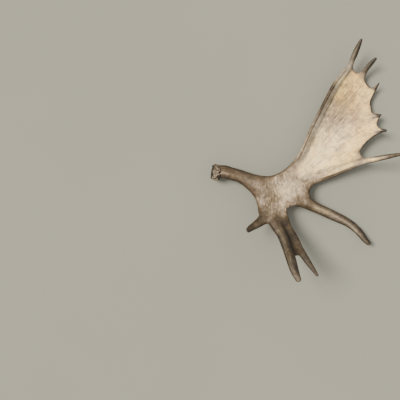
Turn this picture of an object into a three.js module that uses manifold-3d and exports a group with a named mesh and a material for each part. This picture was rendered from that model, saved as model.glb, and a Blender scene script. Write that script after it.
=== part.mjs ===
// The left antler of a moose, shed and lying with its cupped side up. Millimetres, +Z up.
// Plan places are measured from the middle of the burr, heights from the floor.
import * as THREE from 'three';
import { mergeVertices } from 'three/addons/utils/BufferGeometryUtils.js';
import Module from 'manifold-3d';

const wasm = await Module();
wasm.setup();

// ---- driving dimensions ----

const JOIN_GAP = 0.3;

// burr: a knobbed oval ring round a shallow domed seal, a little narrower than it is high
const BURR_HEIGHT = 34.5;
const BURR_KNOBS = 9;
const BURR_KNOB_DEPTH = 0.06;
const BURR_STEPS_PER_KNOB = 4;
const BURR_TURN = -10;
const BURR_OVAL = 0.9;
const BURR_PROFILE = [
  [0, -19], [12, -18], [22, -14], [28, -11], [32, -6],
  [33, 2], [30, 10], [24, 15], [0, 17],
];

// junction: the thick flat place where all branches meet
const JUNCTION = [195, -55];
const JUNCTION_HEIGHT = 52;
const JUNCTION_THICKNESS = 44;
const JUNCTION_SPREAD = 85;
const JUNCTION_BLEND = 110;
const JUNCTION_TO_PALM = [0.646, 0.762];

// main palm: a shallow bowl, deepest along a valley line beside its straight margin
const MARGIN_START = [242, 16];
const MARGIN_ANGLE = 59.6;
const BOWL_ALONG = 260;
const BOWL_ACROSS = 103;
const BOWL_BOTTOM = 6;
const BOWL_CURL = 51;
const BOWL_CURL_WIDTH = 70;
const BOWL_RISE_TOP = [45, 240];
const BOWL_RISE_BASE = [12, 260];
const PALM_THICKNESS = 12;
const EDGE_THICKNESS = 0.5;
const LIP_START = [326, -50];
const LIP_ANGLE = 23.7;
const LIP_HEIGHT = 14;
const LIP_REACH = 35;

// outline of the palm and junction in plan: one smooth run for each list, corners between
const OUTLINE_START = [106, 0];
const OUTLINE_RUNS = [
  [[146, -12], [178, -14], [211, -4], [241, 15], [270, 44], [294, 85], [316, 136],
    [342, 187], [370, 247], [399, 303], [435, 349], [455, 377]],
  [[470, 374]],
  [[478, 352], [491, 346], [502, 351], [511, 358]],
  [[526, 352]],
  [[521, 327], [527, 314], [540, 299], [553, 294], [570, 308]],
  [[552, 271], [543, 249], [544, 225], [550, 203], [572, 198]],
  [[563, 181], [558, 167], [562, 155], [582, 141]],
  [[548, 126], [532, 114], [515, 97], [504, 82], [499, 68], [502, 57], [511, 50], [526, 47]],
  [[508, 27]],
  [[457, 6], [434, -4], [404, -18], [371, -31], [345, -41], [330, -54], [323, -69], [329, -84]],
  [[299, -112]],
  [[260, -119], [245, -127]],
  [[200, -146], [146, -144]],
  [[142, -128], [141, -112], [134, -93], [123, -75], [106, -57], [92, -46]],
];
const OUTLINE_STEPS = 2;
const PLATE_GRID = 23;

// limbs: [x, y, height, width, depth] along the middle; tips are rounded
const BEAM = [
  [4, 1, 35, 46, 44], [27, 0, 36, 48, 45], [68, -10, 39, 45, 42], [103, -23, 44, 52, 42],
  [136, -41, 49, 67, 44], [180, -56, 52, 90, 42], [226, -56, 52, 92, 38],
];
const LONG_TINE = [
  [247, -82, 50, 62, 40], [300, -98, 44, 49, 33], [343, -120, 33, 37, 26],
  [414, -151, 14, 34, 21], [466, -176, 9.2, 30, 19], [500, -205, 16, 26, 16],
  [522, -235, 25, 22, 13], [534, -249, 30, 17, 9],
];
const NEAR_RIDGE = [
  [162, -96, 52, 56, 42], [182, -144, 64, 44, 30], [197, -177, 88, 38, 25],
  [216, -212, 115, 34, 23], [228, -255, 150, 32, 22], [235, -287, 182, 32, 20],
  [241, -318, 204, 28, 16], [251, -346, 222, 17, 11],
];
const FAR_RIDGE = [
  [220, -96, 50, 48, 40], [229, -137, 60, 31, 27], [241, -184, 84, 27, 21],
  [253, -212, 97, 28, 20], [265, -242, 112, 30, 19], [280, -271, 127, 28, 17],
  [297, -299, 142, 21, 14], [313, -323, 152, 15, 10], [324, -340, 158, 10, 8],
];
const SHORT_TINE = [
  [205, -138, 56, 50, 32], [174, -149, 65, 54, 31], [151, -167, 78, 37, 27],
  [128, -180, 104, 27, 22], [107, -191, 132, 21, 17], [99, -196, 144, 16, 13],
];
// ribs of the palm: [x, y, lift above the bowl's middle, width, depth]
const MARGIN_RIB = [
  [205, -24, 0, 30, 34], [220, -13, 0, 24, 24], [251, 7, -1, 22, 17], [281, 37, -1, 23, 15],
  [305, 79, -1, 24, 14], [328, 131, -1, 24, 14], [353, 183, -1, 24, 14], [382, 241, -1, 25, 14],
  [411, 297, 0, 24, 14], [445, 344, 1, 20, 14], [459, 366, 2, 21, 16], [466, 386, 2, 20, 16],
  [474, 410, 4, 19, 14], [480, 428, 7, 16, 12], [484, 441, 10, 10, 9],
];
const SECOND_RIB = [
  [500, 320, 0, 30, 12], [515, 347, 0, 24, 13], [526, 365, 4, 20, 13],
  [538, 380, 10, 15, 11], [546, 389, 14, 10, 8],
];
const OUTER_RIB = [
  [285, -62, -2, 44, 34], [303, -50, -3, 35, 30], [325, -36, -5, 30, 25], [347, -25, -5, 31, 23],
  [376, -13, -4, 30, 21], [408, -1, -4, 30, 20], [443, 13, -3, 26, 18], [474, 25, -2, 24, 17],
  [510, 37, -1, 21, 16], [542, 43, 0, 19, 15], [573, 49, 1, 17, 13], [595, 53, 2, 14, 11],
  [609, 55, 3, 11, 9], [617, 57, 4, 8, 7],
];
const LIMB_SIDES = 10;
const LIMB_STEP = 22;
const LIMB_FEWEST_STEPS = 3;
const TIP_RINGS = 2;

// thin wall between the two ridges of the brow palm, from the junction to where they fork
const BROW_WEB = { sag: 4, thickness: 17, along: 9, across: 4, near: 0.67, far: 0.66 };

// forks: a place on the cut, the way the branch leaves it in degrees, and the reach of the cut
const FORKS = {
  long_tine: { at: [322, -105], way: -27, left: 38, right: 90, length: 330 },
  outer_tine: { at: [512, 37], way: 10, left: 28, right: 28, length: 200 },
  top_tine: { at: [462, 366], way: 70, left: 30, right: 26, length: 140 },
  second_tine: { at: [518, 351], way: 53, left: 20, right: 24, length: 90 },
  brow: { at: [193, -124], way: -97.5, left: 250, right: 150, length: 330 },
  near_brow_tine: { at: [236, -285], way: -75, left: 26, right: 20, length: 150 },
  far_brow_tine: { at: [286, -277], way: -59, left: 30, right: 26, length: 150 },
  short_brow_tine: { at: [151, -161], way: -150, left: 30, right: 50, length: 130 },
  main_palm: { at: [278, -27], way: 49.7, left: 220, right: 320, length: 600 },
};
const CUT_HEIGHT = 700;

const COLOURS = {
  burr_and_beam: 0x8d7f63, main_palm: 0xd9c9a8, top_tine: 0x8a775f, second_tine: 0x75674f,
  outer_tine: 0x7d6d58, long_tine: 0xa8906b, brow_palm: 0x6e5f4a, short_brow_tine: 0x5f5340,
  near_brow_tine: 0x75634f, far_brow_tine: 0x6d5e4b,
};
const ROUGHNESS = 0.7;

// ---- helpers ----

const radians = THREE.MathUtils.degToRad;
const smoothCurve = (points) => new THREE.CatmullRomCurve3(points, false, 'centripetal');
const heading = (degrees) => [Math.cos(radians(degrees)), Math.sin(radians(degrees))];

function solidOf(geometry) {
  const bare = geometry.clone();
  bare.deleteAttribute('normal');
  bare.deleteAttribute('uv');
  const merged = mergeVertices(bare);
  return new wasm.Manifold(new wasm.Mesh({
    numProp: 3,
    vertProperties: new Float32Array(merged.attributes.position.array),
    triVerts: new Uint32Array(merged.index.array),
  }));
}

function geometryOf(solid) {
  const { vertProperties, triVerts } = solid.getMesh();
  const geometry = new THREE.BufferGeometry();
  geometry.setAttribute('position', new THREE.BufferAttribute(new Float32Array(vertProperties), 3));
  geometry.setIndex(new THREE.BufferAttribute(new Uint32Array(triVerts), 1));
  return geometry;
}

function moved(geometry, place) {
  const position = geometry.attributes.position;
  const point = new THREE.Vector3();
  for (let i = 0; i < position.count; i += 1) {
    point.fromBufferAttribute(position, i);
    place(point);
    position.setXYZ(i, point.x, point.y, point.z);
  }
  return geometry;
}

// height of the middle of the palm's bone above any place in plan
function palmHeight(x, y) {
  const [ux, uy] = heading(MARGIN_ANGLE);
  const dx = x - MARGIN_START[0];
  const dy = y - MARGIN_START[1];
  const along = dx * ux + dy * uy - BOWL_ALONG;
  const across = dx * uy - dy * ux - BOWL_ACROSS;
  const [rise, over] = along > 0 ? BOWL_RISE_TOP : BOWL_RISE_BASE;
  const [lx, ly] = heading(LIP_ANGLE);
  const inside = Math.max(0, (y - LIP_START[1]) * lx - (x - LIP_START[0]) * ly);
  const bowl = BOWL_BOTTOM + BOWL_CURL * (Math.hypot(1, across / BOWL_CURL_WIDTH) - 1)
    + rise * (along / over) ** 2 + LIP_HEIGHT * Math.exp(-inside / LIP_REACH);
  const past = Math.max(0, (x - JUNCTION[0]) * JUNCTION_TO_PALM[0]
    + (y - JUNCTION[1]) * JUNCTION_TO_PALM[1]);
  return THREE.MathUtils.lerp(bowl, JUNCTION_HEIGHT, Math.exp(-((past / JUNCTION_BLEND) ** 2)));
}

// thickness of the palm, full in the middle and falling off round its rim
function palmThickness(x, y, rim) {
  const near = Math.hypot(x - JUNCTION[0], y - JUNCTION[1]) / JUNCTION_SPREAD;
  const full = PALM_THICKNESS + (JUNCTION_THICKNESS - PALM_THICKNESS) * Math.exp(-near * near);
  const inside = Math.min(1, distanceTo(rim, x, y) / full);
  return full * (EDGE_THICKNESS + (1 - EDGE_THICKNESS) * Math.sqrt(1 - (1 - inside) ** 2));
}

function distanceTo(rim, x, y) {
  const point = new THREE.Vector3(x, y, 0);
  const edge = new THREE.Line3();
  const nearest = new THREE.Vector3();
  return rim.reduce((least, corner, i) => {
    const next = rim[(i + 1) % rim.length];
    edge.start.set(corner.x, corner.y, 0);
    edge.end.set(next.x, next.y, 0);
    edge.closestPointToPoint(point, true, nearest);
    return Math.min(least, nearest.distanceTo(point));
  }, Infinity);
}

function palmOutline() {
  const outline = new THREE.Shape();
  outline.moveTo(...OUTLINE_START);
  OUTLINE_RUNS.forEach((run) => {
    outline.splineThru(run.map(([x, y]) => new THREE.Vector2(x, y)));
  });
  outline.lineTo(...OUTLINE_START);
  return outline;
}

// ---- solids before they are parted at the forks ----

function palmSolid() {
  const outline = palmOutline();
  const rim = outline.getPoints(OUTLINE_STEPS);
  const box = new THREE.Box2().setFromPoints(rim).expandByScalar(PLATE_GRID);
  const size = box.getSize(new THREE.Vector2());
  const middle = box.getCenter(new THREE.Vector2());
  const slab = new THREE.BoxGeometry(size.x, size.y, 1,
    Math.round(size.x / PLATE_GRID), Math.round(size.y / PLATE_GRID), 1);
  moved(slab, (point) => {
    point.x += middle.x;
    point.y += middle.y;
    point.z = palmHeight(point.x, point.y) + point.z * palmThickness(point.x, point.y, rim);
  });
  const column = new THREE.ExtrudeGeometry(outline,
    { depth: CUT_HEIGHT, bevelEnabled: false, curveSegments: OUTLINE_STEPS });
  column.translate(0, 0, -CUT_HEIGHT / 2);
  return solidOf(slab).intersect(solidOf(column));
}

// a round-ended limb through its stations, oval across, widest in plan
function limbSolid(stations) {
  const spine = smoothCurve(stations.map(([x, y, z]) => new THREE.Vector3(x, y, z)));
  const section = smoothCurve(
    stations.map(([, , , wide, deep], i) => new THREE.Vector3(wide / 2, deep / 2, i)));
  const steps = Math.max(LIMB_FEWEST_STEPS, Math.round(spine.getLength() / LIMB_STEP));
  const limb = new THREE.CapsuleGeometry(1, 2, TIP_RINGS, LIMB_SIDES, steps);
  const up = new THREE.Vector3(0, 0, 1);
  moved(limb, (point) => {
    const along = THREE.MathUtils.clamp(point.y, -1, 1);
    const past = point.y - along;
    const t = (along + 1) / 2;
    const half = section.getPoint(t);
    const tangent = spine.getTangent(t);
    const across = new THREE.Vector3().crossVectors(tangent, up).normalize();
    const above = new THREE.Vector3().crossVectors(across, tangent);
    const { x, z } = point;
    point.copy(spine.getPoint(t));
    point.addScaledVector(tangent, past * Math.min(half.x, half.y));
    point.addScaledVector(across, x * half.x);
    point.addScaledVector(above, z * half.y);
  });
  return solidOf(limb);
}

const onPalm = (stations) => stations.map(
  ([x, y, lift, wide, deep]) => [x, y, palmHeight(x, y) + lift, wide, deep]);

// the folded wall that hangs between the two brow ridges
function browWebSolid() {
  const ridge = (stations) => smoothCurve(
    stations.map(([x, y, z]) => new THREE.Vector3(x, y, z)));
  const near = ridge(NEAR_RIDGE);
  const far = ridge(FAR_RIDGE);
  const { sag, thickness, along, across } = BROW_WEB;
  const wall = new THREE.BoxGeometry(1, 1, 1, across, along, 1);
  return solidOf(moved(wall, (point) => {
    const side = point.x + 0.5;
    const out = 0.5 - point.y;
    const layer = point.z * thickness;
    point.lerpVectors(near.getPoint(out * BROW_WEB.near), far.getPoint(out * BROW_WEB.far), side);
    point.z += layer - sag * (1 - (2 * side - 1) ** 2);
  }));
}

function burrSolid() {
  const profile = BURR_PROFILE.map(([radius, out]) => new THREE.Vector2(radius, out));
  const ring = new THREE.LatheGeometry(profile, BURR_STEPS_PER_KNOB * BURR_KNOBS);
  moved(ring, (point) => {
    const knob = 1 + BURR_KNOB_DEPTH * Math.cos(BURR_KNOBS * Math.atan2(point.z, point.x));
    point.x *= knob * BURR_OVAL;
    point.z *= knob;
  });
  ring.rotateZ(-Math.PI / 2);
  ring.rotateZ(radians(BURR_TURN));
  ring.translate(0, 0, BURR_HEIGHT);
  return solidOf(ring);
}

// ---- parting at the forks ----

function forkBlock({ at, way, left, right, length }, back) {
  const block = new THREE.BoxGeometry(length + back, left + right, CUT_HEIGHT);
  block.translate((length - back) / 2, (left - right) / 2, 0);
  block.rotateZ(radians(way));
  block.translate(at[0], at[1], 0);
  return solidOf(block);
}

function partAt(fork, solid) {
  return {
    branch: solid.intersect(forkBlock(fork, 0)),
    rest: solid.subtract(forkBlock(fork, JOIN_GAP)),
  };
}

function antlerSolids() {
  const whole = [
    palmSolid(), burrSolid(), browWebSolid(),
    ...[BEAM, LONG_TINE, NEAR_RIDGE, FAR_RIDGE, SHORT_TINE].map(limbSolid),
    ...[MARGIN_RIB, SECOND_RIB, OUTER_RIB].map((rib) => limbSolid(onPalm(rib))),
  ].reduce((sum, solid) => sum.add(solid));

  const solids = {};
  let rest = whole;
  ['long_tine', 'outer_tine', 'top_tine', 'second_tine'].forEach((name) => {
    const parted = partAt(FORKS[name], rest);
    solids[name] = parted.branch;
    rest = parted.rest;
  });
  const front = partAt(FORKS.brow, rest);
  rest = front.rest;
  let brow = front.branch;
  ['near_brow_tine', 'far_brow_tine', 'short_brow_tine'].forEach((name) => {
    const parted = partAt(FORKS[name], brow);
    solids[name] = parted.branch;
    brow = parted.rest;
  });
  solids.brow_palm = brow;
  const palm = partAt(FORKS.main_palm, rest);
  solids.main_palm = palm.branch;
  solids.burr_and_beam = palm.rest;
  return solids;
}

// ---- the antler, standing on the floor with its plan box centred ----

const antler = new THREE.Group();
Object.entries(antlerSolids()).forEach(([name, solid]) => {
  const colour = new THREE.MeshStandardMaterial({
    color: COLOURS[name], roughness: ROUGHNESS, metalness: 0,
  });
  const mesh = new THREE.Mesh(geometryOf(solid), colour);
  mesh.name = name;
  antler.add(mesh);
});
const box = new THREE.Box3().setFromObject(antler, true);
const middle = box.getCenter(new THREE.Vector3());
antler.position.set(-middle.x, -middle.y, -box.min.z);

export default antler;
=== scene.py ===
"""A shed moose antler, lying cupped side up on a plain pale floor.

The beam, tines and ridges are drawn out from circles, station by station, and joined with the
cupped palm. The joined bone is skinned over, softened at its forks and grooved along its growth.
"""
import math

import bpy
import numpy as np
from bpy.props import FloatProperty, FloatVectorProperty, IntProperty, PointerProperty
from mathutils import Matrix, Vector, noise


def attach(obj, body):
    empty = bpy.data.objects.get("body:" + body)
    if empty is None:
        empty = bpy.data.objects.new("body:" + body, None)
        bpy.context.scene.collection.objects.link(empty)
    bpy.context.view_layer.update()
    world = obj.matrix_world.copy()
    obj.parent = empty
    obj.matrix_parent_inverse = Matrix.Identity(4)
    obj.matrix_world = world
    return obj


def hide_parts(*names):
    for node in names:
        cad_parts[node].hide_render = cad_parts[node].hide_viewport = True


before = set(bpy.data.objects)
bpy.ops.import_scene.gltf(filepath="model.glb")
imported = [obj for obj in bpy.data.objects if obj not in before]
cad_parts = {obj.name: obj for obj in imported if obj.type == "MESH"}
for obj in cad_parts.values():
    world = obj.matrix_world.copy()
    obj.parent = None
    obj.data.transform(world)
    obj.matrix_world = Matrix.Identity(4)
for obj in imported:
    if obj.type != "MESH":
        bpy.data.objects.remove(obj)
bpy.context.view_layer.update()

bl_info = {
    "name": "Moose Antler",
    "version": (1, 0, 0),
    "blender": (4, 5, 0),
    "location": "3D View > Sidebar > Antler",
    "description": "Builds a shed moose antler with its burr, on a pale floor in soft light",
    "category": "Object",
}

# ---- sizes and places ----
# Plan places are in millimetres from the middle of the burr, heights from the floor.

MM = 0.001
BURR_MIDDLE = Vector((-0.3003, -0.0469, 0.0))

# limbs: [x, y, height, width, depth] along the middle
BEAM = [
    [4, 1, 35, 46, 44], [27, 0, 36, 48, 45], [68, -10, 39, 45, 42], [103, -23, 44, 52, 42],
    [136, -41, 49, 67, 44], [180, -56, 52, 90, 42], [226, -56, 52, 92, 38],
]
LONG_TINE = [
    [247, -82, 50, 62, 40], [300, -98, 44, 49, 33], [343, -120, 33, 37, 26],
    [414, -151, 14, 34, 21], [466, -176, 9.2, 30, 19], [500, -205, 16, 26, 16],
    [522, -235, 25, 22, 13], [534, -249, 30, 17, 9],
]
NEAR_RIDGE = [
    [162, -96, 52, 56, 42], [182, -144, 64, 44, 30], [197, -177, 88, 38, 25],
    [216, -212, 115, 34, 23], [228, -255, 150, 32, 22], [235, -287, 182, 32, 20],
    [241, -318, 204, 28, 16], [251, -346, 222, 17, 11],
]
FAR_RIDGE = [
    [220, -96, 50, 48, 40], [229, -137, 60, 31, 27], [241, -184, 84, 27, 21],
    [253, -212, 97, 28, 20], [265, -242, 112, 30, 19], [280, -271, 127, 28, 17],
    [297, -299, 142, 21, 14], [313, -323, 152, 15, 10], [324, -340, 158, 10, 8],
]
SHORT_TINE = [
    [205, -138, 56, 50, 32], [174, -149, 65, 54, 31], [151, -167, 78, 37, 27],
    [128, -180, 104, 27, 22], [107, -191, 132, 21, 17], [99, -196, 144, 16, 13],
]
# ribs and points of the palm: [x, y, lift above the bowl's middle, width, depth]
MARGIN_RIB = [
    [205, -24, 0, 30, 34], [220, -13, 0, 24, 24], [251, 7, -1, 22, 17], [281, 37, -1, 23, 15],
    [305, 79, -1, 24, 14], [328, 131, -1, 24, 14], [353, 183, -1, 24, 14], [382, 241, -1, 25, 14],
    [411, 297, 0, 24, 14], [445, 344, 1, 20, 14], [459, 366, 2, 21, 16], [466, 386, 2, 20, 16],
    [474, 410, 4, 19, 14], [480, 428, 7, 16, 12], [484, 441, 10, 10, 9],
]
SECOND_RIB = [
    [500, 320, 0, 30, 12], [515, 347, 0, 24, 13], [526, 365, 4, 20, 13],
    [538, 380, 10, 15, 11], [546, 389, 14, 10, 8],
]
OUTER_RIB = [
    [285, -62, -2, 44, 34], [303, -50, -3, 35, 30], [325, -36, -5, 30, 25], [347, -25, -5, 31, 23],
    [376, -13, -4, 30, 21], [408, -1, -4, 30, 20], [443, 13, -3, 26, 18], [474, 25, -2, 24, 17],
    [510, 37, -1, 21, 16], [542, 43, 0, 19, 15], [573, 49, 1, 17, 13], [595, 53, 2, 14, 11],
    [609, 55, 3, 11, 9], [617, 57, 4, 8, 7],
]
UPPER_POINT = [[534, 286, 0, 26, 12], [549, 291, 1, 14, 11], [560, 300, 3, 9, 9], [567, 310, 5, 6, 6]]
MIDDLE_POINT = [[530, 197, 0, 34, 12], [550, 198, 1, 19, 12], [562, 198, 3, 12, 10], [570, 198, 4, 8, 7]]
LOWER_POINT = [[536, 150, 0, 34, 12], [555, 146, 1, 20, 12], [569, 143, 3, 13, 10], [579, 141, 4, 10, 9]]

# outline of the palm and junction in plan: one smooth run for each list, corners between
OUTLINE_START = [106, 0]
OUTLINE_RUNS = [
    [[146, -12], [178, -14], [211, -4], [241, 15], [270, 44], [294, 85], [316, 136],
     [342, 187], [370, 247], [399, 303], [435, 349], [455, 377]],
    [[470, 374]],
    [[478, 352], [491, 346], [502, 351], [511, 358]],
    [[526, 352]],
    [[521, 327], [527, 314], [540, 299], [553, 294], [570, 308]],
    [[552, 271], [543, 249], [544, 225], [550, 203], [572, 198]],
    [[563, 181], [558, 167], [562, 155], [582, 141]],
    [[548, 126], [532, 114], [515, 97], [504, 82], [499, 68], [502, 57], [511, 50], [526, 47]],
    [[508, 27]],
    [[457, 6], [434, -4], [404, -18], [371, -31], [345, -41], [330, -54], [323, -69], [329, -84]],
    [[299, -112]],
    [[260, -119], [245, -127]],
    [[200, -147], [144, -147]],
    [[142, -130], [141, -112], [134, -93], [123, -75], [106, -57], [92, -46]],
]
OUTLINE_SPACING = 5

# the bowl of the palm, deepest along a valley line beside its straight margin
JUNCTION = np.array([195, -55])
JUNCTION_HEIGHT = 52
JUNCTION_THICKNESS = 44
JUNCTION_SPREAD = 85
JUNCTION_BLEND = 110
JUNCTION_TO_PALM = np.array([0.646, 0.762])
MARGIN_START = np.array([242, 16])
MARGIN_ANGLE = math.radians(59.6)
BOWL_ALONG = 260
BOWL_ACROSS = 103
BOWL_BOTTOM = 6
BOWL_CURL = 51
BOWL_CURL_WIDTH = 70
BOWL_RISE_TOP = (45, 240)
BOWL_RISE_BASE = (12, 260)
PALM_THICKNESS = 12
EDGE_THICKNESS = 0.42
LIP_START = np.array([326, -50])
LIP_ANGLE = math.radians(23.7)
LIP_HEIGHT = 14
LIP_REACH = 35

# wall between the two brow ridges: it bulges at its root, sags further out and ends at their fork
WEB_BULGE = 8
WEB_SAG = 6
WEB_TURN = (0.3, 0.6)
WEB_THICKNESS = 17
WEB_NEAR_END = 0.74
WEB_FAR_END = 0.71
WEB_ALONG = 24
WEB_ACROSS = 12

LIMB_SIDES = 20
RING_SPACING = 9
# degrees round each tip at which it has a ring
TIP_TURNS = (18, 36, 54, 70, 83)
# rings stand upright, so they are taller where a limb rises, but not past this share of level
STEEPEST = 0.55
PLATE_VOXEL = 0.003

# how often the joined bone is relaxed: all of it, and only near its forks
SOFT_TURNS = 4
FORK_TURNS = 60
FORK_SOFT = (0.12, 0.7)
SOFT_LEVELS = 10
# how far stain, painted shade and wear run into each other near a fork
FORK_BLEND = (0.1, 0.5)
BLEND_SHARE = 0.9
BLEND_TURNS = 30

# forks that grew into each other: [x, y, height, reach]
FORKS = [
    [215, -58, 52, 95], [178, -110, 55, 60], [225, -120, 58, 60], [270, -85, 48, 60],
    [195, -165, 80, 42], [235, -190, 90, 40], [262, -268, 130, 34], [172, -152, 68, 52],
    [318, -48, 40, 45], [505, 40, 42, 34], [466, 372, 50, 26], [515, 345, 46, 26],
    [110, -25, 46, 50],
]

# where the growth lines of the palm would meet
FAN_MIDDLE = np.array([160, -124])
FAN_RADIUS = 300


# ---- what a user would change ----

def linear(red, green, blue):
    """A colour as it is seen, 0 to 255, as the linear light that Blender counts in."""
    seen = np.array([red, green, blue]) / 255
    light = np.where(seen <= 0.04045, seen / 12.92, ((seen + 0.055) / 1.055) ** 2.4)
    return tuple(float(part) for part in light)


def colour(name, description, red, green, blue):
    return FloatVectorProperty(name=name, description=description, subtype="COLOR", size=3,
                               min=0, max=1, default=linear(red, green, blue))


def length(name, description, default):
    return FloatProperty(name=name, description=description, default=default, min=0,
                         subtype="DISTANCE", unit="LENGTH", precision=4)


class AntlerSizes(bpy.types.PropertyGroup):
    """Sizes of the bone's surface."""
    voxel: length("Mesh size", "Side of the small squares of the skinned bone", 0.00225)
    undulation: length("Undulation", "Depth of the broad swellings of the bone", 0.0016)
    fluting: length("Fluting", "Depth of the flutes along the beam and tines", 0.0024)
    grooves: length("Grooves", "Depth of the fine grooves along the growth", 0.0010)
    pearls: IntProperty(name="Pearls", description="Pearls round each ring of the burr",
                        default=22, min=8, max=60)
    pearl_size: length("Pearl size", "Width of a pearl of the burr", 0.0085)
    crease: length("Crease", "Depth of the crease along the palm's straight rib", 0.0020)


class AntlerColours(bpy.types.PropertyGroup):
    """Colours of the bone, from the bleached palm to the stained tines."""
    cream: colour("Cream", "Bleached bone in the middle of the palm", 250, 224, 168)
    sand: colour("Sand", "Bone of the junction and upper palm", 174, 155, 130)
    tan: colour("Tan", "Worn bone of the long tine", 116, 100, 83)
    # umber is reached by the darkest stain and also by the painted shade on edges and in creases
    brown: colour("Brown", "Stained bone of the beam and brow", 74, 60, 42)
    umber: colour("Umber", "Darkest stain, in hollows and at edges", 36, 28, 19)
    olive: colour("Olive", "Tint of the lichen-stained patches", 253, 251, 238)
    rose: colour("Rose", "Tint of the patches that dried pink", 255, 246, 236)
    peach: colour("Peach", "Tint of the palm towards its pointed margin", 250, 236, 202)
    ash: colour("Ash", "Tint of the weathered tines", 216, 236, 255)
    fleck: colour("Fleck", "Chalky flecks of the junction and pearls", 208, 188, 154)


class StageSettings(bpy.types.PropertyGroup):
    """The floor, the light and the camera."""
    floor: colour("Floor", "Colour of the pale floor", 129, 129, 120)
    sky: FloatProperty(name="Fill", description="Strength of the even light all round",
                       default=1.0, min=0)
    key: FloatProperty(name="Key light", description="Strength of the one soft light",
                       default=6.2, min=0)
    lens: FloatProperty(name="Lens", description="Focal length of the camera",
                        default=45.67, min=10, subtype="DISTANCE_CAMERA", unit="CAMERA")
    height: length("Camera height", "Height of the camera over the floor", 1.8)


# ---- curves ----

def between(first, second, start, end, place):
    return first + (second - first) * (place - start) / (end - start)


def blended(rows, knots, place):
    """The point at one place of a smooth curve that passes through the middle two of four rows."""
    once = [between(rows[i], rows[i + 1], knots[i], knots[i + 1], place) for i in range(3)]
    twice = [between(once[i], once[i + 1], knots[i], knots[i + 2], place) for i in range(2)]
    return between(twice[0], twice[1], knots[1], knots[2], place)


def through(rows, spacing):
    """Rows every so often along a smooth curve through the given rows, placed by their first three."""
    rows = np.array(rows, float)
    rows = np.vstack([2 * rows[0] - rows[1], rows, 2 * rows[-1] - rows[-2]])
    steps = np.linalg.norm(np.diff(rows[:, :3], axis=0), axis=1)
    knots = np.concatenate([[0], np.cumsum(np.sqrt(steps))])
    curve = []
    for i in range(1, len(rows) - 2):
        count = max(1, round(steps[i] / spacing))
        for place in np.linspace(knots[i], knots[i + 1], count, endpoint=False):
            curve.append(blended(rows[i - 1:i + 3], knots[i - 1:i + 3], place))
    curve.append(rows[-2])
    return np.array(curve)


def ease(start, end, value):
    """0 before start and 1 after end, with a smooth turn between; end may be the smaller."""
    part = np.clip((np.asarray(value, float) - start) / (end - start), 0, 1)
    return part * part * (3 - 2 * part)


def ridge(value, middle, width):
    """1 at one value and fading smoothly to both sides of it."""
    return np.exp(-((value - middle) / width) ** 2)


def dome(places, middle, reach):
    """1 at one place and fading smoothly all round it, to about a third at its reach."""
    return np.exp(-np.sum((places - np.array(middle)) ** 2, axis=1) / reach ** 2)


def unit(vectors):
    return vectors / np.linalg.norm(vectors, axis=1)[:, None]


def palm_outline():
    """The palm's outline in plan, run by run."""
    corner = OUTLINE_START
    outline = []
    for run in OUTLINE_RUNS:
        flat = [[x, y, 0] for x, y in [corner, *run]]
        outline.extend(through(flat, OUTLINE_SPACING)[:-1, :2])
        corner = run[-1]
    return np.array(outline)


def rim_distance(outline, places):
    """How far each plan place is from the outline."""
    ends = np.roll(outline, -1, axis=0)
    least = np.full(len(places), np.inf)
    for start, end in zip(outline, ends):
        side = end - start
        share = np.clip((places - start) @ side / (side @ side), 0, 1)
        gap = places - start - share[:, None] * side
        least = np.minimum(least, np.hypot(gap[:, 0], gap[:, 1]))
    return least


def from_margin(places):
    """How far along the palm's straight margin plan places lie, and how far inwards from it."""
    way = np.array([math.cos(MARGIN_ANGLE), math.sin(MARGIN_ANGLE)])
    off = places - MARGIN_START
    return off @ way, off[:, 0] * way[1] - off[:, 1] * way[0]


def palm_height(places):
    """Height of the middle of the palm's bone at plan places."""
    along, across = from_margin(places)
    along = along - BOWL_ALONG
    across = across - BOWL_ACROSS
    rise, over = np.where(along[:, None] > 0, BOWL_RISE_TOP, BOWL_RISE_BASE).T
    lip = places - LIP_START
    inside = np.maximum(0, lip[:, 1] * math.cos(LIP_ANGLE) - lip[:, 0] * math.sin(LIP_ANGLE))
    bowl = (BOWL_BOTTOM + BOWL_CURL * (np.hypot(1, across / BOWL_CURL_WIDTH) - 1)
            + rise * (along / over) ** 2 + LIP_HEIGHT * np.exp(-inside / LIP_REACH))
    past = np.maximum(0, (places - JUNCTION) @ JUNCTION_TO_PALM)
    flat = np.exp(-(past / JUNCTION_BLEND) ** 2)
    return bowl + (JUNCTION_HEIGHT - bowl) * flat


def palm_half_thickness(outline, places):
    """Half the thickness of the palm's bone: most at the junction, and less towards a rounded rim."""
    near = np.linalg.norm(places - JUNCTION, axis=1) / JUNCTION_SPREAD
    full = PALM_THICKNESS + (JUNCTION_THICKNESS - PALM_THICKNESS) * np.exp(-near * near)
    inside = np.minimum(1, rim_distance(outline, places) / full)
    return full / 2 * (EDGE_THICKNESS + (1 - EDGE_THICKNESS) * np.sqrt(1 - (1 - inside) ** 2))


def on_palm(stations):
    """Stations with their lift over the palm turned into a height over the floor."""
    rows = np.array(stations, float)
    rows[:, 2] += palm_height(rows[:, :2])
    return rows


def framed(rows):
    """Places from millimetres round the burr to the frame's metres."""
    return np.asarray(rows, float)[:, :3] * MM + np.array(BURR_MIDDLE)


def unframed(places):
    """Places from the frame's metres to millimetres round the burr."""
    return (places - np.array(BURR_MIDDLE)) / MM


LIMBS = {
    "beam": BEAM, "long_tine": LONG_TINE, "near_ridge": NEAR_RIDGE, "far_ridge": FAR_RIDGE,
    "short_tine": SHORT_TINE, "margin_rib": on_palm(MARGIN_RIB), "second_rib": on_palm(SECOND_RIB),
    "outer_rib": on_palm(OUTER_RIB), "upper_point": on_palm(UPPER_POINT),
    "middle_point": on_palm(MIDDLE_POINT), "lower_point": on_palm(LOWER_POINT),
}
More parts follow.
